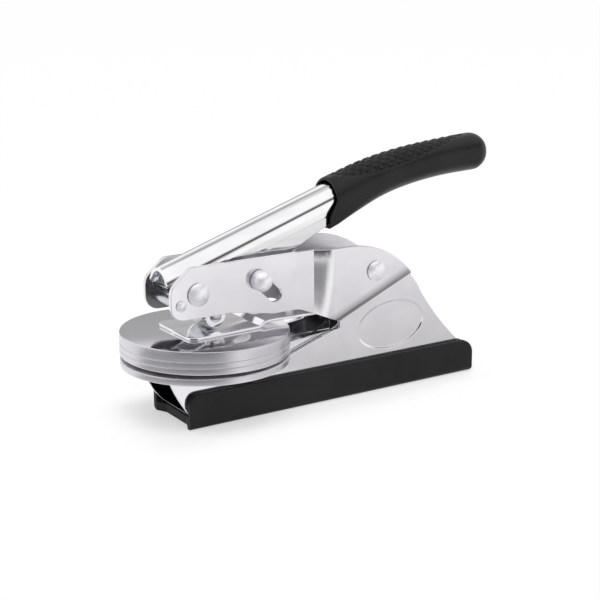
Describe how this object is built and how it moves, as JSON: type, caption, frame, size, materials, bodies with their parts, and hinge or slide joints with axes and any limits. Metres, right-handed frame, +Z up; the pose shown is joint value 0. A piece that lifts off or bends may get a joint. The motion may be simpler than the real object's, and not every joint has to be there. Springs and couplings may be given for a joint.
{
  "type": "seal embosser",
  "caption": "Hand press that embosses a round seal in paper between two steel plates, with a curved rubber-gripped lever.",
  "frame": {"origin": "on the table, at the boot's underside, under the axis of the seal plates", "axes": "+Z up, +X to the rear towards the handle's end, +Y to the left of that"},
  "size_m": [0.1393, 0.054, 0.0824],
  "materials": {
    "satin_plated_steel": "nickel-plated sheet, satin",
    "bright_plated_steel": "bright chrome plate",
    "turned_steel": "turned, fine rings",
    "zinc_plated_steel": "bright zinc",
    "seal_plate_steel": "engraved plate",
    "spring_steel": "drawn wire",
    "black_rubber": "matt, fine grain"
  },
  "bodies": {
    "frame": {"press_frame": "satin_plated_steel", "rubber_boot": "black_rubber", "pivot_rivet": "bright_plated_steel", "pivot_washers": "zinc_plated_steel", "nose_rivet": "bright_plated_steel", "nose_spacer": "zinc_plated_steel", "rear_rivet": "bright_plated_steel", "rear_spacer": "zinc_plated_steel", "lower_strip": "bright_plated_steel", "lower_disc": "turned_steel", "lower_die": "seal_plate_steel", "lower_dowels": "zinc_plated_steel", "hinge_pin": "zinc_plated_steel", "return_spring": "spring_steel"},
    "lever": {"lever_shell": "bright_plated_steel", "lever_bush": "zinc_plated_steel", "roller_axle": "zinc_plated_steel", "grip": "black_rubber"},
    "roller": {"press_roller": "turned_steel"},
    "upper_jaw": {"upper_strip": "bright_plated_steel", "upper_disc": "turned_steel", "backing_plate": "turned_steel", "upper_die": "seal_plate_steel", "upper_dowels": "zinc_plated_steel"},
    "lock": {"lock_pin": "zinc_plated_steel", "lock_knobs": "bright_plated_steel"}
  },
  "joints": [
    {"name": "lever_hinge", "type": "hinge", "parent": "frame", "child": "lever", "pos_m": [-0.007, 0, 0.0424], "axis": [0, 1, 0], "range_deg": [0, 8.5], "stiffness_Nm_per_rad": 0.3, "springref_deg": -17.19},
    {"name": "jaw_hinge", "type": "hinge", "parent": "frame", "child": "upper_jaw", "pos_m": [0.05, 0, 0.02585], "axis": [0, 1, 0], "range_deg": [-0.95, 0]},
    {"name": "roller_spin", "type": "hinge", "parent": "lever", "child": "roller", "pos_m": [0.0006, 0, 0.03357], "axis": [0, 1, 0], "range_deg": [-26.4, 0]},
    {"name": "lock_slide", "type": "slide", "parent": "frame", "child": "lock", "axis": [0.7194, 0, -0.6946], "range_m": [0, 0.00806]}
  ],
  "couplings": [
    {"joint": "jaw_hinge", "follows": "lever_hinge", "ratio": -0.1117},
    {"joint": "roller_spin", "follows": "lever_hinge", "ratio": -3.1}
  ]
}
